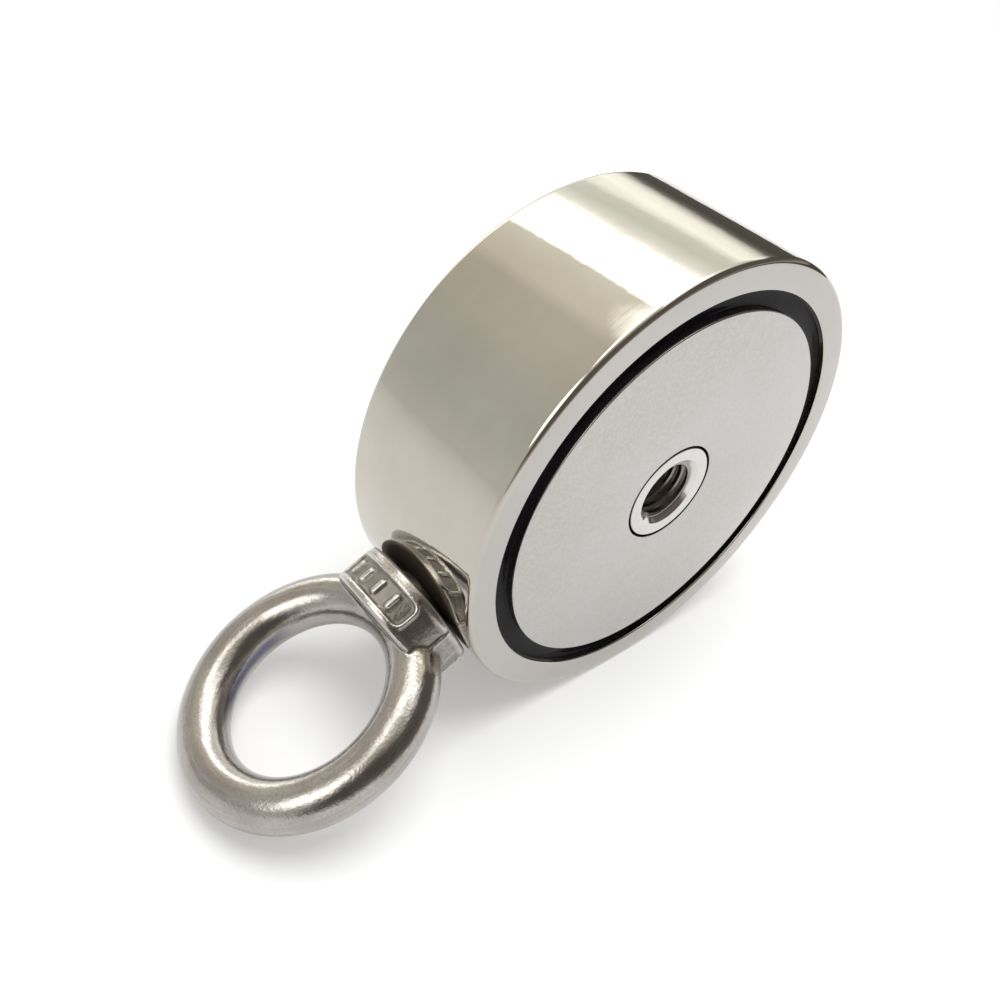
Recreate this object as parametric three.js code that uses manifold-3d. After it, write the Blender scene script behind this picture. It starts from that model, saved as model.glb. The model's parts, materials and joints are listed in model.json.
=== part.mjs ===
// Double-sided magnet for magnet fishing: a nickel-plated steel pot with a ring magnet glued into
// each face, a threaded bush in the middle of each magnet, black potting round each magnet, and a
// forged eyebolt screwed into the side of the pot.
//
// Millimetres. +Z is up and the front face looks along -Y. The pot stands on its round side and the
// eyebolt's ring rests on the same floor. The origin is on that floor, under the middle of the
// box around the whole object.
import * as THREE from 'three';
import { mergeVertices } from 'three/addons/utils/BufferGeometryUtils.js';
import Module from 'manifold-3d';

// Pot: a turned steel body, open on both faces, with a solid web between two equal cavities.
const potRadius = 37.5;
const potThickness = 28;
const cavityRadius = 32.85;
const rimChamfer = 0.8;
const mouthChamfer = 0.3;

// Magnets, flush with the rim, with the glue that beds them on the web.
const magnetRadius = 30;
const magnetThickness = 7;
const magnetEdge = 0.4;
const bondThickness = 0.4;
const glueGap = 0.1;

// Potting in the channel round each magnet, a little below the rim and hollow across.
const pottingRecess = 0.9;
const pottingMeniscus = 0.5;

// Threaded bushes: a plain body as long as the magnet is thick, and a spigot in the web.
const bushRadius = 7.9;
const bushSpigotRadius = 6.4;
const bushSpigotLength = 5;
const bushCountersinkRadius = 6;
const boreMinorRadius = 4.19;

// Metric coarse thread, shared by the bushes and the eyebolt's shank.
const threadRadius = 5;
const threadPitch = 1.5;

// Eyebolt: shank, collar and ring in one forging.
const shankLength = 18;
const shankMinorRadius = 4.1;
const collarRadius = 10.4;
const collarHeight = 7.2;
const collarEdge = 0.5;
const ringRadius = 16.8;
const ringSectionRadius = 3.95;
const ringCentre = 59.4;
const ringTwist = THREE.MathUtils.degToRad(9.8);

// Recessed panel on each side of the collar, with plain raised marks.
const panelFloorRadius = 9.9;
const panelHalfAngle = THREE.MathUtils.degToRad(46);
const panelHeight = 4.1;
const panelRise = 3.9;
const markRadius = 10.2;
const markAngles = [-28, -10, 8, 27].map(THREE.MathUtils.degToRad);
const markHalfAngle = THREE.MathUtils.degToRad(4);
const markHeight = 2.6;

// Clearances, and the numbers of flats that stand for round surfaces.
const fitGap = 0.3;
const potFlats = 72;
const bushFlats = 32;
const shankFlats = 24;
const collarFlats = 48;
const ringFlats = 56;
const sectionFlats = 16;
const weldDistance = 1e-4;

const rimFace = potThickness / 2;
const magnetBack = rimFace - magnetThickness;
const bondFront = magnetBack - glueGap;
const webFace = bondFront - bondThickness - glueGap;
const collarSeat = potRadius + fitGap;
const shankEnd = collarSeat - shankLength;

const wasm = await Module();
wasm.setup();

// A three.js geometry as a solid: its vertices are merged, triangles that a pole has flattened are
// dropped, and the rest are turned to face outwards.
function solidOf(geometry) {
  geometry.deleteAttribute('normal');
  geometry.deleteAttribute('uv');
  const merged = mergeVertices(geometry, weldDistance);
  const place = merged.attributes.position;
  const corners = [];
  let volume = 0;
  const [a, b, c] = [new THREE.Vector3(), new THREE.Vector3(), new THREE.Vector3()];
  for (let i = 0; i < merged.index.count; i += 3) {
    const triangle = [0, 1, 2].map((k) => merged.index.getX(i + k));
    if (new Set(triangle).size === 3) {
      corners.push(triangle);
      [a, b, c].forEach((point, k) => point.fromBufferAttribute(place, triangle[k]));
      volume += a.dot(b.cross(c));
    }
  }
  const outward = volume < 0 ? corners.map((triangle) => triangle.reverse()) : corners;
  return new wasm.Manifold(new wasm.Mesh({
    numProp: 3,
    vertProperties: new Float32Array(place.array),
    triVerts: new Uint32Array(outward.flat()),
  }));
}

function geometryOf(solid) {
  const mesh = solid.getMesh();
  const geometry = new THREE.BufferGeometry();
  geometry.setAttribute('position', new THREE.BufferAttribute(mesh.vertProperties, 3));
  geometry.setIndex(new THREE.BufferAttribute(mesh.triVerts, 1));
  geometry.computeVertexNormals();
  return geometry;
}

// A turned solid about the Y axis. The outline is a list of [radius, y] points, which starts and
// ends on the axis or is closed by its first point.
function turned(outline, flats) {
  const points = outline.map(([radius, y]) => new THREE.Vector2(radius, y));
  const onAxis = outline[0][0] === 0;
  if (!onAxis) {
    points.push(points[0].clone());
  }
  return solidOf(new THREE.LatheGeometry(points, flats));
}

// One V ridge after another between two radii, from y = start for a number of pitches.
function ridges(rootRadius, crestRadius, start, count) {
  const points = [];
  for (let turn = 0; turn < count; turn += 1) {
    points.push([rootRadius, start + turn * threadPitch]);
    points.push([crestRadius, start + (turn + 0.5) * threadPitch]);
  }
  points.push([rootRadius, start + count * threadPitch]);
  return points;
}

// A block bent round the Y axis, between two radii and two angles from +Z, centred on y = middle.
function bentBlock(inner, outer, from, to, middle, height) {
  const shape = new THREE.Shape();
  shape.absarc(0, 0, outer, from, to, false);
  shape.absarc(0, 0, inner, to, from, true);
  const block = new THREE.ExtrudeGeometry(shape, { depth: height, bevelEnabled: false, curveSegments: 12 });
  block.translate(0, 0, middle - height / 2);
  block.applyMatrix4(new THREE.Matrix4().makeBasis(
    new THREE.Vector3(0, 0, 1),
    new THREE.Vector3(1, 0, 0),
    new THREE.Vector3(0, 1, 0),
  ));
  return solidOf(block);
}

// How far the eyebolt dips below level so that its ring just touches the floor.
function dipToFloor() {
  let low = 0;
  let high = Math.PI / 4;
  for (let step = 0; step < 40; step += 1) {
    const dip = (low + high) / 2;
    const normalRise = Math.cos(ringTwist) * Math.cos(dip);
    const ringDrop = ringRadius * Math.sqrt(1 - normalRise ** 2) + ringSectionRadius;
    if (ringCentre * Math.sin(dip) + ringDrop > potRadius) {
      high = dip;
    } else {
      low = dip;
    }
  }
  return (low + high) / 2;
}

// The eyebolt's own frame: +Y runs out along the shank, and +Z is the ring's upper side.
function eyeboltTurn(dip) {
  const outward = new THREE.Vector3(-Math.cos(dip), 0, -Math.sin(dip));
  const level = new THREE.Vector3(-Math.sin(dip), 0, Math.cos(dip));
  const ringNormal = level.clone().applyAxisAngle(outward, ringTwist);
  const across = outward.clone().cross(ringNormal);
  const basis = new THREE.Matrix4().makeBasis(across, outward, ringNormal);
  return new THREE.Quaternion().setFromRotationMatrix(basis);
}

function potBody(eyeTurn) {
  const boreRadius = bushSpigotRadius + glueGap;
  const half = [
    [boreRadius, webFace],
    [cavityRadius, webFace],
    [cavityRadius, rimFace - mouthChamfer],
    [cavityRadius + mouthChamfer, rimFace],
    [potRadius - rimChamfer, rimFace],
    [potRadius, rimFace - rimChamfer],
  ];
  const mirrored = half.map(([radius, y]) => [radius, -y]).reverse();
  const body = turned([...half, ...mirrored], potFlats);
  const holeDepth = potRadius - shankEnd + 2 * fitGap;
  const holeLength = holeDepth + rimChamfer;
  const holeRadius = threadRadius + fitGap;
  const hole = new THREE.CylinderGeometry(holeRadius, holeRadius, holeLength, shankFlats);
  hole.translate(0, potRadius - holeDepth + holeLength / 2, 0);
  hole.applyQuaternion(eyeTurn);
  return body.subtract(solidOf(hole));
}

// The pieces of one face, drawn for the back face at +Y. A factor of -1 turns them to the front.
function magnet(side) {
  const boreRadius = bushRadius + glueGap;
  return turned([
    [boreRadius, side * magnetBack],
    [magnetRadius - magnetEdge, side * magnetBack],
    [magnetRadius, side * (magnetBack + magnetEdge)],
    [magnetRadius, side * (rimFace - magnetEdge)],
    [magnetRadius - magnetEdge, side * rimFace],
    [boreRadius, side * rimFace],
  ], potFlats);
}

function bondLayer(side) {
  const boreRadius = bushRadius + glueGap;
  const back = bondFront - bondThickness;
  return turned([
    [boreRadius, side * back],
    [magnetRadius, side * back],
    [magnetRadius, side * bondFront],
    [boreRadius, side * bondFront],
  ], potFlats);
}

function epoxyRing(side) {
  const inner = magnetRadius + glueGap;
  const outer = cavityRadius - glueGap;
  const edge = rimFace - pottingRecess;
  const back = webFace + glueGap;
  return turned([
    [inner, side * back],
    [outer, side * back],
    [outer, side * edge],
    [(inner + outer) / 2, side * (edge - pottingMeniscus)],
    [inner, side * edge],
  ], potFlats);
}

function bush(side) {
  const shoulder = webFace + glueGap;
  const end = shoulder - bushSpigotLength;
  const countersinkDepth = bushCountersinkRadius - boreMinorRadius;
  const boreLength = rimFace - countersinkDepth - end;
  const turns = Math.floor(boreLength / threadPitch);
  const threadStart = rimFace - countersinkDepth - turns * threadPitch;
  const thread = ridges(boreMinorRadius, threadRadius, threadStart, turns);
  const outline = [
    [boreMinorRadius, end],
    ...thread,
    [bushCountersinkRadius, rimFace],
    [bushRadius, rimFace],
    [bushRadius, shoulder],
    [bushSpigotRadius, shoulder],
    [bushSpigotRadius, end],
  ];
  return turned(outline.map(([radius, y]) => [radius, side * y]), bushFlats);
}

function eyebolt() {
  const turns = Math.floor(shankLength / threadPitch) - 1;
  const tip = threadRadius - shankMinorRadius;
  const collarTop = collarSeat + collarHeight;
  const stem = turned([
    [0, shankEnd],
    [shankMinorRadius - tip, shankEnd],
    ...ridges(shankMinorRadius, threadRadius, shankEnd + tip, turns),
    [shankMinorRadius, collarSeat],
    [collarRadius - collarEdge, collarSeat],
    [collarRadius, collarSeat + collarEdge],
    [collarRadius, collarTop - collarEdge],
    [collarRadius - collarEdge, collarTop],
    [0, collarTop],
  ], collarFlats);
  const ring = new THREE.TorusGeometry(ringRadius, ringSectionRadius, sectionFlats, ringFlats);
  ring.translate(0, ringCentre, 0);
  let body = stem.add(solidOf(ring));
  const middle = collarSeat + panelRise;
  for (const facing of [0, Math.PI]) {
    const [from, to] = [facing - panelHalfAngle, facing + panelHalfAngle];
    body = body.subtract(bentBlock(panelFloorRadius, collarRadius + 1, from, to, middle, panelHeight));
    for (const angle of markAngles) {
      const [start, stop] = [facing + angle - markHalfAngle, facing + angle + markHalfAngle];
      const root = panelFloorRadius - 1;
      body = body.add(bentBlock(root, markRadius, start, stop, middle, markHeight));
    }
  }
  return body;
}

const nickel = { color: 0xd6d3cb, roughness: 0.12, metalness: 1 };
const satinNickel = { color: 0xcfccc5, roughness: 0.28, metalness: 1 };
const epoxyBlack = { color: 0x121216, roughness: 0.18, metalness: 0 };
const clearGlue = { color: 0xb9b08c, roughness: 0.6, metalness: 0 };
const castStainless = { color: 0x96918a, roughness: 0.32, metalness: 1 };

function piece(name, solid, finish) {
  const mesh = new THREE.Mesh(geometryOf(solid), new THREE.MeshStandardMaterial(finish));
  mesh.name = name;
  return mesh;
}

const dip = dipToFloor();
const eyeTurn = eyeboltTurn(dip);

const pot = new THREE.Group();
pot.add(piece('pot_body', potBody(eyeTurn), nickel));
for (const [face, side] of [['front', -1], ['back', 1]]) {
  pot.add(piece(`${face}_magnet`, magnet(side), satinNickel));
  pot.add(piece(`${face}_bond_layer`, bondLayer(side), clearGlue));
  pot.add(piece(`${face}_epoxy_ring`, epoxyRing(side), epoxyBlack));
  pot.add(piece(`${face}_bush`, bush(side), nickel));
}

const eyeboltPiece = piece('eyebolt', eyebolt(), castStainless);
eyeboltPiece.quaternion.copy(eyeTurn);

// The ring's furthest point along -X balances the pot's side at +X about the origin.
const normalRun = Math.cos(ringTwist) * Math.sin(dip);
const ringReach = ringRadius * Math.sqrt(1 - normalRun ** 2) + ringSectionRadius;
const reach = ringCentre * Math.cos(dip) + ringReach;

const fishingMagnet = new THREE.Group();
fishingMagnet.add(pot, eyeboltPiece);
fishingMagnet.position.set((reach - potRadius) / 2, 0, potRadius);

export default fishingMagnet;
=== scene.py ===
# Magnet fishing magnet: the looks of a double-faced pot magnet with a forged eyebolt in its side.
# Metres, in the frame of the CAD model. The pot's axis is Y and its front face looks along -Y.
import json
from math import cos, pi, radians

import bpy
from mathutils import Euler, Matrix, Vector


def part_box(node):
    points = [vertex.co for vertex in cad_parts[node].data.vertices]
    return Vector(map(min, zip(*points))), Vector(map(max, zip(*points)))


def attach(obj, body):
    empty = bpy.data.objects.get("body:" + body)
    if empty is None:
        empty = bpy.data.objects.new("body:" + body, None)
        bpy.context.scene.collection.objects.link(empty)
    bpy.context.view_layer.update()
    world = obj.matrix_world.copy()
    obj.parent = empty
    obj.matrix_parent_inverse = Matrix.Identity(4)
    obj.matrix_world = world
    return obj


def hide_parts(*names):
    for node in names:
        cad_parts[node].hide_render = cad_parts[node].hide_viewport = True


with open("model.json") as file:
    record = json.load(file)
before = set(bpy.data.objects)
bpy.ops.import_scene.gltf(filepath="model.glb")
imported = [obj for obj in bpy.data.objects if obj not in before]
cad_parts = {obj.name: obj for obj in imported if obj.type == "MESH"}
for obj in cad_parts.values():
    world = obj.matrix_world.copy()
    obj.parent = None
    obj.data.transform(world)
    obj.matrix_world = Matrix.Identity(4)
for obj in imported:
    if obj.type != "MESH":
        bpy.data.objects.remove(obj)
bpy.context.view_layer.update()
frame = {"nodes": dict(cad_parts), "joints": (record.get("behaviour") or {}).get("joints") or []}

MM = 0.001

# Sizes that the frame gives.
pot_low, pot_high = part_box("pot_body")
magnet_low, magnet_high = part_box("front_magnet")
epoxy_low, epoxy_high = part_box("front_epoxy_ring")
bush_low, bush_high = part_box("front_bush")
POT_CENTRE = (pot_low + pot_high) / 2
POT_RADIUS = (pot_high.z - pot_low.z) / 2
RIM_FACE = (pot_high.y - pot_low.y) / 2
MAGNET_RADIUS = (magnet_high.z - magnet_low.z) / 2
MAGNET_DEPTH = magnet_high.y - magnet_low.y
EPOXY_DEPTH = epoxy_high.y - epoxy_low.y
POTTING_SINK = 0.3 * MM
EPOXY_FACE = -(epoxy_low.y - POT_CENTRE.y) - POTTING_SINK
BUSH_RADIUS = (bush_high.z - bush_low.z) / 2
BUSH_LENGTH = bush_high.y - bush_low.y
SHANK_AXIS = Vector(frame["joints"][0]["axis"])

# Sizes of the turned and forged detail.
CAVITY_RADIUS = 32.85 * MM
WEB_FACE = 6.4 * MM
RIM_ROUND = 1.0 * MM
MOUTH_ROUND = 0.3 * MM
MAGNET_ROUND = 0.22 * MM
MAGNET_BORE = BUSH_RADIUS + 0.25 * MM
POTTING_SAG = 0.2 * MM
SPIGOT_RADIUS = 6.4 * MM
SPIGOT_LENGTH = 5 * MM
COUNTERSINK_RADIUS = 5.8 * MM
COUNTERSINK_ROUND = 0.15 * MM
BUSH_ROUND = 0.35 * MM
BUSH_TURNS = 9
THREAD_MINOR = 4.5 * MM
THREAD_MAJOR = 5 * MM
THREAD_PITCH = 1.5 * MM
SHANK_LENGTH = 18 * MM
SHANK_MINOR = 4.1 * MM
SHANK_TURNS = 11
COLLAR_SEAT = 37.8 * MM
COLLAR_RADIUS = 10.4 * MM
COLLAR_HEIGHT = 7.2 * MM
RING_RADIUS = 16.8 * MM
RING_SECTION = 3.95 * MM
RING_CENTRE = 59.4 * MM
RING_TWIST = radians(9.8)
PANEL_RADIUS = 9.9 * MM
PANEL_ARC = radians(92)
PANEL_HEIGHT = 4.1 * MM
PANEL_RISE = 3.9 * MM
PAD_WIDTH = 4.4 * MM
PAD_PLANE = 10.3 * MM
MARK_SLANTS = (-28, -10, 8, 27)

# How the forging's skin is drawn over its joined solids.
SKIN_VOXEL = 0.245 * MM
SKIN_SMOOTHING = 2
LIMB_SMOOTHING = 14
LIMB_START = 1.5 * MM

FINE = 192
TINY = 0.02 * MM


# ---------------------------------------------------------------- modelling

def clear_selection():
    if bpy.context.mode != "OBJECT":
        bpy.ops.object.mode_set(mode="OBJECT")
    bpy.ops.object.select_all(action="DESELECT")


def new_piece(name, primitive, **sizes):
    """Adds a primitive as a piece of its own, alone in the selection."""
    clear_selection()
    primitive(**sizes)
    piece = bpy.context.object
    piece.name = name
    piece.data.name = name
    return piece


def activate(piece):
    clear_selection()
    piece.select_set(True)
    bpy.context.view_layer.objects.active = piece


def pick(piece, kind, test):
    """Goes to edit mode with only those vertices, edges or faces selected that pass the test."""
    activate(piece)
    mesh = piece.data
    kinds = {"VERT": mesh.vertices, "EDGE": mesh.edges, "FACE": mesh.polygons}
    for rows in kinds.values():
        rows.foreach_set("select", [False] * len(rows))
    for row in kinds[kind]:
        row.select = test(row)
    bpy.context.tool_settings.mesh_select_mode = [kind == k for k in kinds]
    bpy.ops.object.mode_set(mode="EDIT")


def done_editing():
    bpy.ops.object.mode_set(mode="OBJECT")


def face_at(height, sign, radius=0):
    """A test for flat faces at a height, looking up or down, whose middle is past a radius."""
    def test(face):
        level = abs(face.center.z - height) < TINY and face.normal.z * sign > 0.9
        return level and face.center.xy.length >= radius - TINY
    return test


def edge_at(piece, radius, height):
    """A test for the edges of the circle of that radius at that height."""
    corners = piece.data.vertices

    def on_circle(i):
        place = corners[i].co
        return abs(place.xy.length - radius) < TINY and abs(place.z - height) < TINY
    return lambda edge: all(on_circle(i) for i in edge.vertices)


def round_edges(piece, radius, height, size, steps):
    pick(piece, "EDGE", edge_at(piece, radius, height))
    bpy.ops.mesh.bevel(offset=size, offset_type="OFFSET", segments=steps, profile=0.5)
    done_editing()


def move_out(distance):
    """Extrudes the selected face along Z."""
    bpy.ops.mesh.extrude_region_move(TRANSFORM_OT_translate={"value": (0, 0, distance)})


def bore_through(piece, radius, top, bottom):
    """Opens a round hole between the flat faces at two heights."""
    for height, sign in ((top, 1), (bottom, -1)):
        pick(piece, "FACE", face_at(height, sign))
        outer = max(v.co.xy.length for v in piece.data.vertices if abs(v.co.z - height) < TINY)
        bpy.ops.mesh.inset(thickness=outer - radius, depth=0)
        done_editing()
    discs = [face_at(height, sign) for height, sign in ((top, 1), (bottom, -1))]
    pick(piece, "FACE", lambda f: len(f.vertices) > 4 and any(disc(f) for disc in discs))
    bpy.ops.mesh.bridge_edge_loops()
    done_editing()


def apply_modifier(piece, kind, **settings):
    activate(piece)
    modifier = piece.modifiers.new(kind.title(), kind)
    for key, value in settings.items():
        setattr(modifier, key, value)
    bpy.ops.object.modifier_apply(modifier=modifier.name)


def combine(piece, tool, operation):
    """Joins a tool to a piece or cuts it away, and removes the tool."""
    apply_modifier(piece, "BOOLEAN", operation=operation, object=tool, solver="EXACT")
    bpy.data.objects.remove(tool)


def outward_normals(piece):
    pick(piece, "FACE", lambda face: True)
    bpy.ops.mesh.normals_make_consistent(inside=False)
    done_editing()


def settle(piece, matrix):
    """Moves a piece to its place, with the place in its mesh and its object at the origin."""
    activate(piece)
    piece.matrix_world = matrix @ piece.matrix_world
    bpy.ops.object.transform_apply(location=True, rotation=True, scale=True)


def smooth(piece, angle=30):
    activate(piece)
    bpy.ops.object.shade_smooth_by_angle(angle=radians(angle))


def copy_of(piece, name, matrix):
    """A copy with a mesh of its own, moved by the matrix."""
    activate(piece)
    bpy.ops.object.duplicate()
    twin = bpy.context.object
    twin.name = name
    twin.data.name = name
    settle(twin, matrix)
    return twin


FACE_FRONT = Matrix.Translation(POT_CENTRE) @ Matrix.Rotation(pi / 2, 4, "X")
TO_BACK = (Matrix.Translation(POT_CENTRE) @ Matrix.Rotation(pi, 4, "Z")
           @ Matrix.Translation(-POT_CENTRE))


def shank_frame():
    """The eyebolt's own frame: +Z out along the shank, -Y out of the side with the panel."""
    level = SHANK_AXIS.cross(Vector((0, 1, 0))).normalized()
    if level.z < 0:
        level = -level
    ring_normal = Matrix.Rotation(RING_TWIST, 3, SHANK_AXIS) @ level
    across = SHANK_AXIS.cross(ring_normal)
    turn = Matrix((across, -ring_normal, SHANK_AXIS)).transposed().to_4x4()
    return Matrix.Translation(POT_CENTRE) @ turn


SHANK_FRAME = shank_frame()


def thread_coil(name, root, crest, start, turns):
    """A closed V-shaped coil, to be cut from a wall: its point is at the crest radius."""
    coil = new_piece(name, bpy.ops.mesh.primitive_circle_add,
                     vertices=3, radius=1, fill_type="NOTHING")
    depth = abs(crest - root)
    outward = 1 if crest > root else -1
    corners = ((crest, 0), (root, 0.46 * THREAD_PITCH), (root, -0.46 * THREAD_PITCH))
    for vertex, (radius, rise) in zip(coil.data.vertices, corners):
        vertex.co = (radius, 0, start + rise)
    apply_modifier(coil, "SCREW", axis="Z", angle=2 * pi, screw_offset=THREAD_PITCH,
                   iterations=turns, steps=48, render_steps=48, use_smooth_shade=True)
    pick(coil, "EDGE", lambda edge: False)
    bpy.ops.mesh.select_non_manifold(extend=False)
    bpy.ops.mesh.fill()
    done_editing()
    outward_normals(coil)
    return coil


def make_pot():
    """The turned pot: rim wall on both sides of a solid web, rounded edges, two bores."""
    pot = new_piece("pot_shell", bpy.ops.mesh.primitive_cylinder_add,
                    vertices=FINE, radius=POT_RADIUS, depth=2 * RIM_FACE)
    for sign in (1, -1):
        pick(pot, "FACE", face_at(sign * RIM_FACE, sign))
        bpy.ops.mesh.inset(thickness=POT_RADIUS - CAVITY_RADIUS, depth=0)
        move_out(sign * (WEB_FACE - RIM_FACE))
        done_editing()
    bore_through(pot, SPIGOT_RADIUS + 0.1 * MM, WEB_FACE, -WEB_FACE)
    for sign in (1, -1):
        round_edges(pot, POT_RADIUS, sign * RIM_FACE, RIM_ROUND, 8)
        round_edges(pot, CAVITY_RADIUS, sign * RIM_FACE, MOUTH_ROUND, 4)
    settle(pot, FACE_FRONT)
    depth = SHANK_LENGTH + 1 * MM
    drill = new_piece("drill", bpy.ops.mesh.primitive_cylinder_add, vertices=48,
                      radius=THREAD_MAJOR + 0.3 * MM, depth=depth,
                      location=(0, 0, POT_RADIUS + MM - depth / 2))
    settle(drill, SHANK_FRAME)
    combine(pot, drill, "DIFFERENCE")
    smooth(pot)
    return pot


def make_magnet():
    """A sintered ring magnet, flush with the rim, its edges barrelled before plating."""
    middle = RIM_FACE - MAGNET_DEPTH / 2
    magnet = new_piece("magnet_disc_front", bpy.ops.mesh.primitive_cylinder_add, vertices=FINE,
                       radius=MAGNET_RADIUS, depth=MAGNET_DEPTH, location=(0, 0, middle))
    settle(magnet, Matrix())
    back = RIM_FACE - MAGNET_DEPTH
    bore_through(magnet, MAGNET_BORE, RIM_FACE, back)
    for height in (RIM_FACE, back):
        round_edges(magnet, MAGNET_RADIUS, height, MAGNET_ROUND, 5)
        round_edges(magnet, MAGNET_BORE, height, MAGNET_ROUND, 4)
    settle(magnet, FACE_FRONT)
    smooth(magnet)
    return magnet


def make_potting():
    """Black potting in the channel: a spun section whose open face sags between the two walls."""
    inner = MAGNET_RADIUS + 0.02 * MM
    outer = CAVITY_RADIUS - 0.02 * MM
    middle = (inner + outer) / 2
    ring = new_piece("potting_ring_front", bpy.ops.mesh.primitive_plane_add, size=1,
                     location=(middle, 0, EPOXY_FACE - EPOXY_DEPTH / 2), rotation=(pi / 2, 0, 0))
    ring.scale = (outer - inner, EPOXY_DEPTH, 1)
    settle(ring, Matrix())
    pick(ring, "FACE", lambda face: True)
    bpy.ops.mesh.delete(type="ONLY_FACE")
    done_editing()
    corners = ring.data.vertices
    pick(ring, "EDGE", lambda e: all(corners[i].co.z > EPOXY_FACE - TINY for i in e.vertices))
    bpy.ops.mesh.subdivide(number_cuts=9)
    done_editing()
    pick(ring, "VERT", lambda v: abs(v.co.x - middle) < TINY and v.co.z > EPOXY_FACE - TINY)
    bpy.ops.transform.translate(value=(0, 0, -POTTING_SAG), use_proportional_edit=True,
                                proportional_edit_falloff="SPHERE",
                                proportional_size=(outer - inner) / 2)
    bpy.ops.mesh.select_all(action="SELECT")
    bpy.ops.mesh.spin(steps=FINE, angle=2 * pi, center=(0, 0, 0), axis=(0, 0, 1))
    bpy.ops.mesh.select_all(action="SELECT")
    bpy.ops.mesh.remove_doubles(threshold=TINY / 10)
    done_editing()
    outward_normals(ring)
    settle(ring, FACE_FRONT)
    smooth(ring, 50)
    return ring


def make_bush():
    """A turned bush: a flange in the magnet, a spigot in the web, a countersunk threaded bore."""
    shoulder = RIM_FACE - BUSH_LENGTH + SPIGOT_LENGTH
    end = RIM_FACE - BUSH_LENGTH
    bush = new_piece("threaded_bush_front", bpy.ops.mesh.primitive_cylinder_add, vertices=FINE,
                     radius=BUSH_RADIUS, depth=RIM_FACE - shoulder,
                     location=(0, 0, (RIM_FACE + shoulder) / 2))
    settle(bush, Matrix())
    pick(bush, "FACE", face_at(shoulder, -1))
    bpy.ops.mesh.inset(thickness=BUSH_RADIUS - SPIGOT_RADIUS, depth=0)
    move_out(end - shoulder)
    done_editing()
    countersink = RIM_FACE - (COUNTERSINK_RADIUS - THREAD_MAJOR)
    pick(bush, "FACE", face_at(RIM_FACE, 1))
    bpy.ops.mesh.inset(thickness=BUSH_RADIUS - COUNTERSINK_RADIUS, depth=0)
    bpy.ops.mesh.inset(thickness=COUNTERSINK_RADIUS - THREAD_MAJOR, depth=countersink - RIM_FACE)
    done_editing()
    bore_through(bush, THREAD_MINOR, countersink, end)
    round_edges(bush, BUSH_RADIUS, RIM_FACE, BUSH_ROUND, 5)
    round_edges(bush, COUNTERSINK_RADIUS, RIM_FACE, COUNTERSINK_ROUND, 3)
    start = countersink - (BUSH_TURNS - 0.4) * THREAD_PITCH
    coil = thread_coil("bush_coil", THREAD_MINOR - 0.25 * MM, THREAD_MAJOR, start, BUSH_TURNS)
    combine(bush, coil, "DIFFERENCE")
    settle(bush, FACE_FRONT)
    smooth(bush, 25)
    return bush


def bent_pad(name, radius, thickness, arc, height, corner, at, rise):
    """A pad with rounded corners, bent round the shank's axis on the panel's side."""
    length = radius * arc
    pad = new_piece(name, bpy.ops.mesh.primitive_cube_add, size=1)
    pad.scale = (length, thickness, height)
    settle(pad, Matrix())
    corners = pad.data.vertices

    def runs_through(edge):
        a, b = (corners[i].co for i in edge.vertices)
        return abs(a.y - b.y) > TINY
    pick(pad, "EDGE", runs_through)
    bpy.ops.mesh.bevel(offset=corner, offset_type="OFFSET", segments=6, profile=0.5)
    steps = max(2, round(arc / radians(4)))
    for step in range(1, steps):
        bpy.ops.mesh.select_all(action="SELECT")
        bpy.ops.mesh.bisect(plane_co=(length * (step / steps - 0.5), 0, 0), plane_no=(1, 0, 0))
    done_editing()
    apply_modifier(pad, "SIMPLE_DEFORM", deform_method="BEND", deform_axis="Z", angle=arc)
    settle(pad, Matrix.Rotation(at, 4, "Z") @ Matrix.Translation((0, -radius, rise)))
    return pad


def turned_disc(name, radius, low, high, rounding):
    """A disc on the shank's axis with both edges rounded."""
    disc = new_piece(name, bpy.ops.mesh.primitive_cylinder_add, vertices=128, radius=radius,
                     depth=high - low, location=(0, 0, (low + high) / 2))
    settle(disc, Matrix())
    for height in (low, high):
        round_edges(disc, radius, height, rounding, 4)
    return disc


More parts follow.
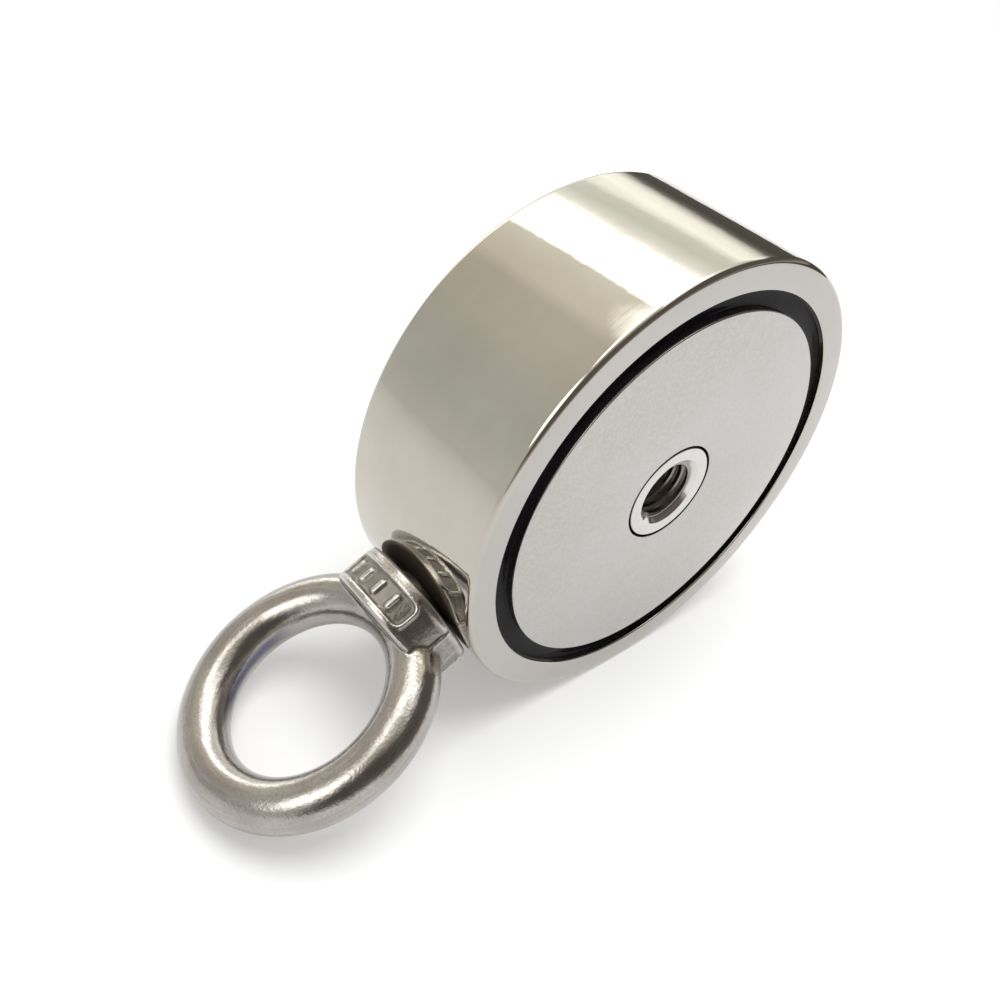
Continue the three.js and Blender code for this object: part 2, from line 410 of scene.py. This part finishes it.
def make_eyebolt():
    """The forged eyebolt: ring, collar with its panels, and shank, blended as one casting."""
    top = COLLAR_SEAT + COLLAR_HEIGHT
    bolt = turned_disc("eyebolt_forging", COLLAR_RADIUS - 0.3 * MM, COLLAR_SEAT + 0.2 * MM,
                       top - 0.2 * MM, 0.3 * MM)
    pot_lip = turned_disc("pot_lip", COLLAR_RADIUS, COLLAR_SEAT, COLLAR_SEAT + 1.3 * MM, 0.5 * MM)
    ring_lip = turned_disc("ring_lip", COLLAR_RADIUS + 0.05 * MM, top - 1.4 * MM, top, 0.6 * MM)
    combine(bolt, pot_lip, "UNION")
    combine(bolt, ring_lip, "UNION")
    for side in (1, -1):
        pad = new_piece("side_pad", bpy.ops.mesh.primitive_cube_add, size=1)
        pad.scale = (3 * MM, PAD_WIDTH, COLLAR_HEIGHT - 0.9 * MM)
        pad_middle = COLLAR_SEAT + COLLAR_HEIGHT / 2 - 0.1 * MM
        pad.location = (side * (PAD_PLANE - 1.5 * MM), 0, pad_middle)
        settle(pad, Matrix())
        combine(bolt, pad, "UNION")
    panel_middle = COLLAR_SEAT + PANEL_RISE
    for side in (0, pi):
        rim = bent_pad("panel_rim", COLLAR_RADIUS - 0.4 * MM, MM, PANEL_ARC + radians(6.5),
                       PANEL_HEIGHT + 1.2 * MM, 1.6 * MM, side, panel_middle)
        combine(bolt, rim, "UNION")
    ring = new_piece("ring", bpy.ops.mesh.primitive_torus_add, major_radius=RING_RADIUS,
                     minor_radius=RING_SECTION, major_segments=192, minor_segments=64,
                     location=(0, 0, RING_CENTRE), rotation=(pi / 2, 0, 0))
    settle(ring, Matrix())
    combine(bolt, ring, "UNION")
    shank = new_piece("shank", bpy.ops.mesh.primitive_cylinder_add, vertices=64,
                      radius=THREAD_MAJOR, depth=SHANK_LENGTH + MM,
                      location=(0, 0, COLLAR_SEAT + MM / 2 - SHANK_LENGTH / 2))
    settle(shank, Matrix())
    start = COLLAR_SEAT - SHANK_LENGTH - 0.3 * THREAD_PITCH
    coil = thread_coil("shank_coil", THREAD_MAJOR + 0.25 * MM, SHANK_MINOR, start, SHANK_TURNS)
    combine(shank, coil, "DIFFERENCE")
    combine(bolt, shank, "UNION")
    for side in (0, pi):
        cut_depth = 2 * MM
        recess = bent_pad("recess", PANEL_RADIUS + cut_depth / 2, cut_depth, PANEL_ARC,
                          PANEL_HEIGHT, 1.1 * MM, side, panel_middle)
        combine(bolt, recess, "DIFFERENCE")
        for slant in MARK_SLANTS:
            mark = bent_pad("mark", PANEL_RADIUS, 0.95 * MM, radians(5), 2.6 * MM, 0.4 * MM,
                            side + radians(slant), panel_middle)
            combine(bolt, mark, "UNION")
    voxel = SKIN_VOXEL
    apply_modifier(bolt, "REMESH", mode="VOXEL", voxel_size=voxel, use_smooth_shade=True)
    apply_modifier(bolt, "SMOOTH", factor=0.5, iterations=SKIN_SMOOTHING)
    limbs = bolt.vertex_groups.new(name="ring_limbs")
    on_limbs = [v.index for v in bolt.data.vertices if v.co.z > top + LIMB_START]
    limbs.add(on_limbs, 1, "REPLACE")
    apply_modifier(bolt, "SMOOTH", factor=0.5, iterations=LIMB_SMOOTHING, vertex_group=limbs.name)
    settle(bolt, SHANK_FRAME)
    activate(bolt)
    bpy.ops.object.shade_smooth()
    return bolt


# ---------------------------------------------------------------- shader maths

class Value:
    """A shader socket. Arithmetic on it adds Math nodes."""

    def __init__(self, board, socket):
        self.board = board
        self.socket = socket

    def maths(self, operation, first, second):
        return self.board.node("ShaderNodeMath", {"operation": operation}, {0: first, 1: second})

    def __add__(self, other):
        return self.maths("ADD", self, other)

    __radd__ = __add__

    def __mul__(self, other):
        return self.maths("MULTIPLY", self, other)

    __rmul__ = __mul__

    def __sub__(self, other):
        return self.maths("SUBTRACT", self, other)

    def __rsub__(self, other):
        return self.maths("SUBTRACT", other, self)

    def __truediv__(self, other):
        return self.maths("DIVIDE", self, other)


class Board:
    """A node tree that is being wired."""

    def __init__(self, tree):
        self.tree = tree
        tree.nodes.clear()

    def node(self, kind, settings=None, inputs=None, output=0):
        node = self.tree.nodes.new(kind)
        for key, value in (settings or {}).items():
            if key == "stops":
                self.set_stops(node.color_ramp, value)
            else:
                setattr(node, key, value)
        for key, value in (inputs or {}).items():
            if isinstance(value, Value):
                self.tree.links.new(value.socket, node.inputs[key])
            elif value is not None:
                node.inputs[key].default_value = value
        return Value(self, node.outputs[output]) if node.outputs else node

    @staticmethod
    def set_stops(ramp, stops):
        while len(ramp.elements) < len(stops):
            ramp.elements.new(1)
        for element, (place, colour) in zip(ramp.elements, sorted(stops)):
            element.position = place
            element.color = (*colour, 1)

    def place(self, centre=(0, 0, 0), turn=(0, 0, 0), scale=(1, 1, 1)):
        """Object coordinates about a centre, in a turned frame."""
        spot = self.node("ShaderNodeTexCoord", output="Object")
        spot = self.node("ShaderNodeVectorMath", {"operation": "SUBTRACT"}, {0: spot, 1: centre})
        turned = {"Vector": spot, "Rotation": turn, "Scale": scale}
        return self.node("ShaderNodeMapping", {"vector_type": "POINT"}, turned)

    def noise(self, where, scale, detail=3, roughness=0.5):
        feed = {"Vector": where, "Scale": scale, "Detail": detail, "Roughness": roughness}
        return self.node("ShaderNodeTexNoise", None, feed)

    def fit(self, value, low, high, to_low=0, to_high=1, ends="SMOOTHSTEP"):
        """The value moved from one range to another and kept inside it."""
        feed = {"Value": value, "From Min": low, "From Max": high,
                "To Min": to_low, "To Max": to_high}
        return self.node("ShaderNodeMapRange", {"interpolation_type": ends}, feed)

    def blend(self, mask, first, second):
        """One colour where the mask is 0, the other where it is 1."""
        feed = {"Factor": mask, 6: self.colour(first), 7: self.colour(second)}
        return self.node("ShaderNodeMix", {"data_type": "RGBA"}, feed, output=2)

    @staticmethod
    def colour(value):
        return value if isinstance(value, Value) else (*value, 1)

    def bump(self, height, strength, distance, under=None):
        feed = {"Height": height, "Strength": strength, "Distance": distance, "Normal": under}
        return self.node("ShaderNodeBump", None, feed)

    def larger(self, first, second):
        return self.node("ShaderNodeMath", {"operation": "MAXIMUM"}, {0: first, 1: second})

    def size(self, value):
        return self.node("ShaderNodeMath", {"operation": "ABSOLUTE"}, {0: value})

    def vector(self, x=0, y=0, z=0):
        return self.node("ShaderNodeCombineXYZ", None, {"X": x, "Y": y, "Z": z})

    def part(self, vector, axis):
        return self.node("ShaderNodeSeparateXYZ", None, {0: vector}, output=axis)

    def length(self, vector):
        return self.node("ShaderNodeVectorMath", {"operation": "LENGTH"}, {0: vector},
                         output="Value")

    def surface(self, **inputs):
        shader = self.node("ShaderNodeBsdfPrincipled", None,
                           {key.replace("_", " "): value for key, value in inputs.items()})
        self.node("ShaderNodeOutputMaterial", None, {"Surface": shader})


def material(name):
    finish = bpy.data.materials.new(name)
    finish.use_nodes = True
    return finish, Board(finish.node_tree)


# ---------------------------------------------------------------- finishes

def bright_nickel():
    """Mirror nickel on the pot's turned side, with a finer ground look on the rim faces."""
    finish, board = material("pot bright nickel")
    spot = board.place(POT_CENTRE)
    depth = board.size(board.part(spot, "Y"))
    on_rim = board.fit(depth, RIM_FACE - 0.10 * MM, RIM_FACE - 0.01 * MM)
    cloud = board.noise(spot, 42, 5, 0.6)
    fine = board.noise(spot, 1500, 3, 0.6)
    side_tint = board.blend(board.fit(cloud, 0.3, 0.7),
                            (0.482, 0.456, 0.396), (0.545, 0.520, 0.468))
    rim_tint = board.blend(board.fit(cloud, 0.35, 0.65),
                           (0.462, 0.447, 0.424), (0.497, 0.478, 0.452))
    tint = board.blend(on_rim, side_tint, rim_tint)
    turning = board.noise(board.place(POT_CENTRE, scale=(1, 260, 1)), 12, 2)
    rough = 0.018 + 0.02 * cloud + 0.015 * fine + 0.14 * on_rim
    ripple = board.bump(board.noise(spot, 26, 2), 0.10, 2 * MM)
    sag = board.bump(board.noise(spot, 110, 3), 0.05, MM, ripple)
    lines = board.bump(turning, 0.008, 0.2 * MM, sag)
    grain = board.bump(fine, 0.015, 0.1 * MM, lines)
    board.surface(Base_Color=tint, Metallic=1.0, Roughness=rough, Normal=grain)
    return finish


def satin_nickel():
    """Plating over a pressed magnet: satin, faintly cloudy, with a fine pressed grain."""
    finish, board = material("magnet satin nickel")
    spot = board.place(POT_CENTRE)
    cloud = board.noise(spot, 38, 5, 0.6)
    speck = board.noise(spot, 2400, 3, 0.6)
    drag = board.noise(board.place(POT_CENTRE, turn=(0, radians(28), 0), scale=(1, 1, 14)), 90, 3)
    tint = board.blend(board.fit(cloud, 0.32, 0.68), (0.448, 0.443, 0.415), (0.488, 0.480, 0.457))
    tint = board.blend(board.fit(speck, 0.35, 0.8), tint, (0.53, 0.525, 0.505))
    radius = board.length(board.place(POT_CENTRE, scale=(1, 0, 1)))
    outside = board.fit(radius, MAGNET_RADIUS - 0.10 * MM, MAGNET_RADIUS - 0.02 * MM)
    # The magnet's outer wall just under its face is made near black and not metallic, with a ragged
    # top edge.
    depth = board.size(board.part(spot, "Y")) + 0.25 * MM * board.noise(spot, 300, 4)
    black_wall_and_gap_shade = outside * (1 - board.fit(depth, RIM_FACE - 0.20 * MM, RIM_FACE - 0.10 * MM))
    # Painted shade: a near-black, non-metallic ring at the bore's edge stands in for the shade in
    # the gap round the bush.
    painted_gap_shade = 1 - board.fit(radius, MAGNET_BORE + 0.02 * MM, MAGNET_BORE + 0.12 * MM)
    black_wall_and_gap_shade = board.larger(black_wall_and_gap_shade, painted_gap_shade)
    tint = board.blend(black_wall_and_gap_shade, tint, (0.012, 0.010, 0.011))
    rough = 0.15 + 0.08 * cloud + 0.05 * drag + 0.05 * speck
    under = board.bump(drag, 0.02, 0.3 * MM)
    grain = board.bump(speck, 0.05, 0.1 * MM, under)
    board.surface(Base_Color=tint, Metallic=1 - black_wall_and_gap_shade, Roughness=rough, Normal=grain)
    return finish


def bush_nickel():
    """Bright turned nickel on the flat; down in the thread it is rougher and painted darker, and a
    line of painted shade runs round the flange's edge.
    """
    finish, board = material("bush bright nickel")
    radius = board.length(board.place(POT_CENTRE, scale=(1, 0, 1)))
    in_bore = 1 - board.fit(radius, 4.9 * MM, 5.3 * MM)
    turning = board.noise(board.vector(radius), 5200, 2)
    smear = board.noise(board.place(POT_CENTRE), 420, 4, 0.6)
    bright = board.blend(smear, (0.58, 0.565, 0.54), (0.68, 0.67, 0.65))
    # Painted shade: the darker colours in the bore stand in for the shade down in the hole.
    dark = board.blend(smear, (0.15, 0.135, 0.12), (0.42, 0.39, 0.36))
    # Painted shade: the flange's outer edge is made near black and not metallic for the shade in
    # the gap round it.
    painted_gap_shade = board.fit(radius, BUSH_RADIUS - 0.20 * MM, BUSH_RADIUS - 0.08 * MM)
    tint = board.blend(painted_gap_shade, board.blend(in_bore, bright, dark), (0.012, 0.010, 0.011))
    rough = 0.07 + 0.06 * smear + 0.16 * in_bore
    board.surface(Base_Color=tint, Metallic=1 - painted_gap_shade, Roughness=rough,
                  Normal=board.bump(turning, 0.03, 0.05 * MM))
    return finish


def black_epoxy():
    finish, board = material("black potting epoxy")
    spot = board.place(POT_CENTRE)
    flow = board.noise(spot, 160, 3)
    dust = board.noise(spot, 2200, 2)
    tint = board.blend(board.fit(flow, 0.35, 0.65), (0.0045, 0.0040, 0.0060), (0.010, 0.009, 0.012))
    rough = 0.05 + 0.05 * flow + 0.04 * dust
    board.surface(Base_Color=tint, Metallic=0.0, Roughness=rough, Specular_IOR_Level=0.045,
                  Normal=board.bump(flow, 0.14, 0.3 * MM))
    return finish


def clear_adhesive():
    finish, board = material("bond layer adhesive")
    cloud = board.noise(board.place(POT_CENTRE), 120, 4)
    tint = board.blend(cloud, (0.42, 0.36, 0.22), (0.58, 0.52, 0.36))
    board.surface(Base_Color=tint, Metallic=0.0, Roughness=0.35 + 0.25 * cloud,
                  Normal=board.bump(cloud, 0.2, 0.2 * MM))
    return finish


def tumbled_stainless():
    """Tumbled stainless forging: warm grey, bright on the crowns, with painted shade in dark brown
    in the hollows and a painted blue reflection on one side of the ring's inner wall.
    """
    finish, board = material("eyebolt tumbled stainless")
    spot = board.place(POT_CENTRE)
    local = board.place(POT_CENTRE, turn=SHANK_FRAME.to_3x3().inverted().to_euler())
    across, side, along = (board.part(local, axis) for axis in "XYZ")
    reach = along - RING_CENTRE
    ring_radius = board.length(board.vector(across, reach))
    turn = board.node("ShaderNodeMath", {"operation": "ARCTAN2"}, {0: across, 1: reach})
    streaks = board.noise(board.vector(ring_radius, side, 0.10 * RING_RADIUS * turn), 1300, 3, 0.6)
    cloud = board.noise(spot, 85, 5, 0.6)
    pits = board.noise(spot, 800, 5, 0.65)
    grit = board.noise(spot, 3400, 3, 0.6)
    edge = board.node("ShaderNodeNewGeometry", output="Pointiness")
    off_ring = 1 - board.fit(along, COLLAR_SEAT + COLLAR_HEIGHT + 0.3 * MM,
                             COLLAR_SEAT + COLLAR_HEIGHT + 1.2 * MM)
    worn = off_ring * board.fit(edge, 0.502, 0.535)
    # Painted shade: hollow, creased places (low pointiness) are made dark brown and rougher.
    in_hollows = 1 - board.fit(edge, 0.42, 0.495)
    shank_radius = board.length(board.vector(across, side))
    low_wall = 1 - board.fit(shank_radius, PANEL_RADIUS + 0.15 * MM, PANEL_RADIUS + 0.35 * MM)
    off_middle = board.size(along - (COLLAR_SEAT + PANEL_RISE))
    in_panel = low_wall * (1 - board.fit(off_middle, 2.0 * MM, 2.3 * MM))
    in_panel = in_panel * board.fit(board.size(side), 6.4 * MM, 6.9 * MM)
    inner_wall = 1 - board.fit(ring_radius, RING_RADIUS - RING_SECTION,
                               RING_RADIUS - 0.94 * RING_SECTION)
    seat = 1 - board.fit(along, COLLAR_SEAT + 0.1 * MM, COLLAR_SEAT + 0.5 * MM)
    # Painted reflection: a blue crescent on one side of the ring's inner wall stands in for a blue
    # reflection.
    painted_blue_reflection = inner_wall * (1 - board.fit(board.size(turn - 1.2), 0.35, 0.85))
    lips = board.fit(board.size(along - COLLAR_SEAT - COLLAR_HEIGHT / 2), 2.2 * MM, 2.7 * MM)
    as_cast = (1 - lips) * (1 - board.fit(shank_radius, PAD_PLANE + 0.3 * MM, PAD_PLANE + 0.8 * MM))
    tint = board.blend(board.fit(cloud, 0.3, 0.7), (0.345, 0.316, 0.290), (0.452, 0.428, 0.405))
    tint = board.blend(board.fit(streaks, 0.42, 0.75, 0, 0.3), tint, (0.62, 0.605, 0.58))
    tint = board.blend(board.fit(grit, 0.45, 0.8, 0, 0.35), tint, (0.15, 0.13, 0.11))
    tint = board.blend(as_cast * board.fit(pits, 0.3, 0.7, 0.30, 0.75), tint, (0.19, 0.165, 0.14))
    tint = board.blend(0.8 * in_hollows, tint, (0.13, 0.11, 0.09))
    tint = board.blend(0.75 * worn, tint, (0.68, 0.66, 0.63))
    tint = board.blend(0.6 * in_panel * (1 - worn), tint, (0.20, 0.185, 0.165))
    tint = board.blend(0.7 * painted_blue_reflection, tint, (0.06, 0.07, 0.15))
    tint = board.blend(seat, tint, (0.22, 0.19, 0.17))
    rough = 0.055 + 0.05 * cloud + 0.08 * pits + 0.04 * streaks + 0.15 * in_hollows + 0.14 * in_panel
    rough = rough + 0.13 * as_cast + 0.25 * seat
    dents = board.bump(board.noise(spot, 140, 3), 0.20, 0.8 * MM)
    hammered = board.bump(board.noise(spot, 430, 4, 0.55), 0.16, 0.35 * MM, dents)
    drawn = board.bump(streaks, 0.09, 0.10 * MM, hammered)
    skin = board.bump(pits * (1 + 2.2 * in_panel + 1.2 * as_cast), 0.24, 0.15 * MM, drawn)
    grain = board.bump(grit, 0.45, 0.06 * MM, skin)
    board.surface(Base_Color=tint, Metallic=1 - 0.55 * seat, Roughness=rough, Normal=grain)
    return finish


# ---------------------------------------------------------------- studio

FOCAL_OVER_SENSOR = 1.0514
SENSOR = 36.0
LENS_SHIFT = 0.02
CAMERA_OFFSET = Vector((-103.91, -81.06, 98.70)) * MM
CAMERA_TURN = Euler((radians(47.269), radians(-6.662), radians(-38.380)))
FLOOR_RADIUS = 1.6
CARD_LENGTH = 2.4
CARD_HEIGHT = 0.075
CARD_DISTANCE = 0.42
LAMP_SIZE = 0.60
LAMP_ENERGY = 4.6
LAMP_PLACE = Vector((0.08, -0.09, 0.84))


def add_camera():
    camera = bpy.data.objects.new("studio_camera", bpy.data.cameras.new("studio_camera"))
    bpy.context.scene.collection.objects.link(camera)
    camera.location = POT_CENTRE + CAMERA_OFFSET
    camera.rotation_euler = CAMERA_TURN
    camera.data.sensor_width = SENSOR
    camera.data.lens = SENSOR * FOCAL_OVER_SENSOR
    camera.data.shift_x = LENS_SHIFT
    camera.data.shift_y = LENS_SHIFT
    camera.data.clip_start = 0.01
    bpy.context.scene.camera = camera


def add_floor():
    floor = new_piece("studio_floor", bpy.ops.mesh.primitive_circle_add, vertices=128,
                      radius=FLOOR_RADIUS, fill_type="NGON", location=(POT_CENTRE.x, 0, 0))
    finish, board = material("studio pale floor")
    reach = board.part(board.place(POT_CENTRE), "X")
    # Painted light: the floor's colour is painted darker towards -X, away from the pot, for a
    # falloff of light, and the floor glows, more so far out, to lift the shadows on it.
    near = board.fit(reach, -0.5, 0.0, ends="LINEAR")
    pale = board.blend(near, (0.60, 0.60, 0.59), (0.88, 0.88, 0.88))
    painted_fill_glow = board.blend(near, (0.40, 0.40, 0.39), (0.19, 0.19, 0.19))
    board.surface(Base_Color=pale, Roughness=0.9, Specular_IOR_Level=0.0, Emission_Color=painted_fill_glow,
                  Emission_Strength=1.0)
    floor.data.materials.append(finish)


def add_card():
    """A low dark card at the floor's right-hand side, which only the plating sees."""
    card = new_piece("studio_card", bpy.ops.mesh.primitive_plane_add, size=1)
    card.rotation_euler = (pi / 2, 0, pi / 2)
    card.scale = (CARD_LENGTH, CARD_HEIGHT, 1)
    card.location = (POT_CENTRE.x + CARD_DISTANCE, 0, CARD_HEIGHT / 2)
    settle(card, Matrix())
    finish, board = material("studio dark card")
    board.surface(Base_Color=(0, 0, 0, 1), Specular_IOR_Level=0.0, Emission_Strength=1.0,
                  Emission_Color=(0.115, 0.105, 0.09, 1))
    card.data.materials.append(finish)
    card.visible_camera = False
    card.visible_diffuse = False
    card.visible_shadow = False


# What the studio shows in each direction round the pot's axis: 0 degrees is level to the right,
# 90 is overhead. Each row is an angle and the light that comes from there.
STUDIO_BANDS = (
    (-180, (0.78, 0.77, 0.74)),
    (-100, (0.70, 0.68, 0.64)),
    (-80, (0.13, 0.12, 0.10)),
    (1, (0.105, 0.10, 0.085)),
    (7, (0.115, 0.11, 0.095)),
    (12, (0.22, 0.21, 0.19)),
    (17, (1.15, 1.12, 1.05)),
    (21, (1.62, 1.60, 1.51)),
    (28, (1.85, 1.87, 1.76)),
    (34, (1.15, 1.17, 1.08)),
    (42, (1.10, 1.13, 1.05)),
    (50, (1.48, 1.48, 1.42)),
    (53, (1.90, 1.90, 1.84)),
    (57, (3.40, 3.40, 3.30)),
    (78, (3.40, 3.40, 3.30)),
    (80, (1.16, 1.14, 1.02)),
    (92, (1.04, 0.98, 0.86)),
    (99, (1.00, 0.95, 0.82)),
    (106, (0.78, 0.74, 0.64)),
    (130, (0.73, 0.695, 0.63)),
    (150, (0.68, 0.68, 0.65)),
    (166, (0.70, 0.71, 0.68)),
    (180, (0.78, 0.77, 0.74)),
)
BRIGHTEST = 3.4
DOME = 0.57
BACKDROP = 1.0


def add_world():
    """Bands for the plating to mirror, an even dome for the floor, and a plain white backdrop."""
    world = bpy.data.worlds.new("studio")
    bpy.context.scene.world = world
    world.use_nodes = True
    world.cycles.sampling_method = "NONE"
    board = Board(world.node_tree)
    look = board.node("ShaderNodeTexCoord", output="Generated")
    right, away, height = (board.part(look, axis) for axis in "XYZ")
    angle = board.node("ShaderNodeMath", {"operation": "ARCTAN2"}, {0: height, 1: right})
    slant = 0.6 * (away - 0.465) * (1 - board.fit(board.size(angle), 0.38, 0.55))
    angle = angle + slant
    stops = [((a + 180) / 360, tuple(c / BRIGHTEST for c in rgb)) for a, rgb in STUDIO_BANDS]
    bands = board.node("ShaderNodeValToRGB", {"stops": stops}, {"Fac": angle / (2 * pi) + 0.5})
    overhead = board.fit(height, 0.865, 0.905) * board.fit(away, -0.05, 0.12)
    seen = board.blend(overhead, bands, (0.86, 0.86, 0.83))
    forward = 0.25 * right - away
    dark_side = board.fit(forward, 0.08, 0.34) * board.fit(height, 0.995, 0.80, 0.35, 1)
    seen = board.blend(dark_side, seen, board.blend(board.fit(height, 0.04, 0.22),
                                                    (0.13, 0.12, 0.11), (0.046, 0.041, 0.038)))
    left_box = Vector((-0.755, 0.03, 0.655)).normalized()
    facing = board.node("ShaderNodeVectorMath", {"operation": "DOT_PRODUCT"},
                        {0: look, 1: left_box}, output="Value")
    boxed = board.fit(facing, cos(radians(19)), cos(radians(14.5)))
    seen = board.blend(boxed, seen, (0.98, 0.97, 0.92))
    mirrored = board.node("ShaderNodeLightPath", output="Is Glossy Ray")
    viewed = board.node("ShaderNodeLightPath", output="Is Camera Ray")
    studio = board.node("ShaderNodeBackground", None, {"Color": seen, "Strength": BRIGHTEST})
    dome = board.node("ShaderNodeBackground", None, {"Color": (1, 1, 1, 1), "Strength": DOME})
    backdrop = board.node("ShaderNodeBackground", None,
                          {"Color": (1, 1, 1, 1), "Strength": BACKDROP})
    both = board.node("ShaderNodeMixShader", None, {0: mirrored, 1: dome, 2: studio})
    every = board.node("ShaderNodeMixShader", None, {0: viewed, 1: both, 2: backdrop})
    board.node("ShaderNodeOutputWorld", None, {"Surface": every})


def add_fill_light():
    """A broad soft light from above. The plating doesn't mirror it."""
    lamp = bpy.data.lights.new("studio_softbox", "AREA")
    lamp.shape = "DISK"
    lamp.size = LAMP_SIZE
    lamp.energy = LAMP_ENERGY
    light = bpy.data.objects.new("studio_softbox", lamp)
    bpy.context.scene.collection.objects.link(light)
    light.location = POT_CENTRE + LAMP_PLACE
    light.rotation_euler = LAMP_PLACE.to_track_quat("Z", "Y").to_euler()
    light.visible_glossy = False


# ---------------------------------------------------------------- assembly

def dress(piece, finish, body, node):
    piece.data.materials.clear()
    piece.data.materials.append(finish)
    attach(piece, body)
    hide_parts(node)


add_camera()
add_world()
add_fill_light()
add_floor()
add_card()

dress(make_pot(), bright_nickel(), "pot", "pot_body")
repeated = (
    (make_magnet, satin_nickel, "magnet_nickel", "magnet"),
    (make_potting, black_epoxy, "black_epoxy", "epoxy_ring"),
    (make_bush, bush_nickel, "bush_nickel", "bush"),
)
for make, finish_of, slot, node in repeated:
    finish = finish_of()
    front = make()
    back = copy_of(front, front.name.replace("front", "back"), TO_BACK)
    dress(front, finish, "pot", "front_" + node)
    dress(back, finish, "pot", "back_" + node)

adhesive = clear_adhesive()
for side in ("front", "back"):
    layer = frame["nodes"][side + "_bond_layer"]
    layer.data.materials.clear()
    layer.data.materials.append(adhesive)

dress(make_eyebolt(), tumbled_stainless(), "eyebolt", "eyebolt")

bpy.context.scene.view_settings.view_transform = "Standard"
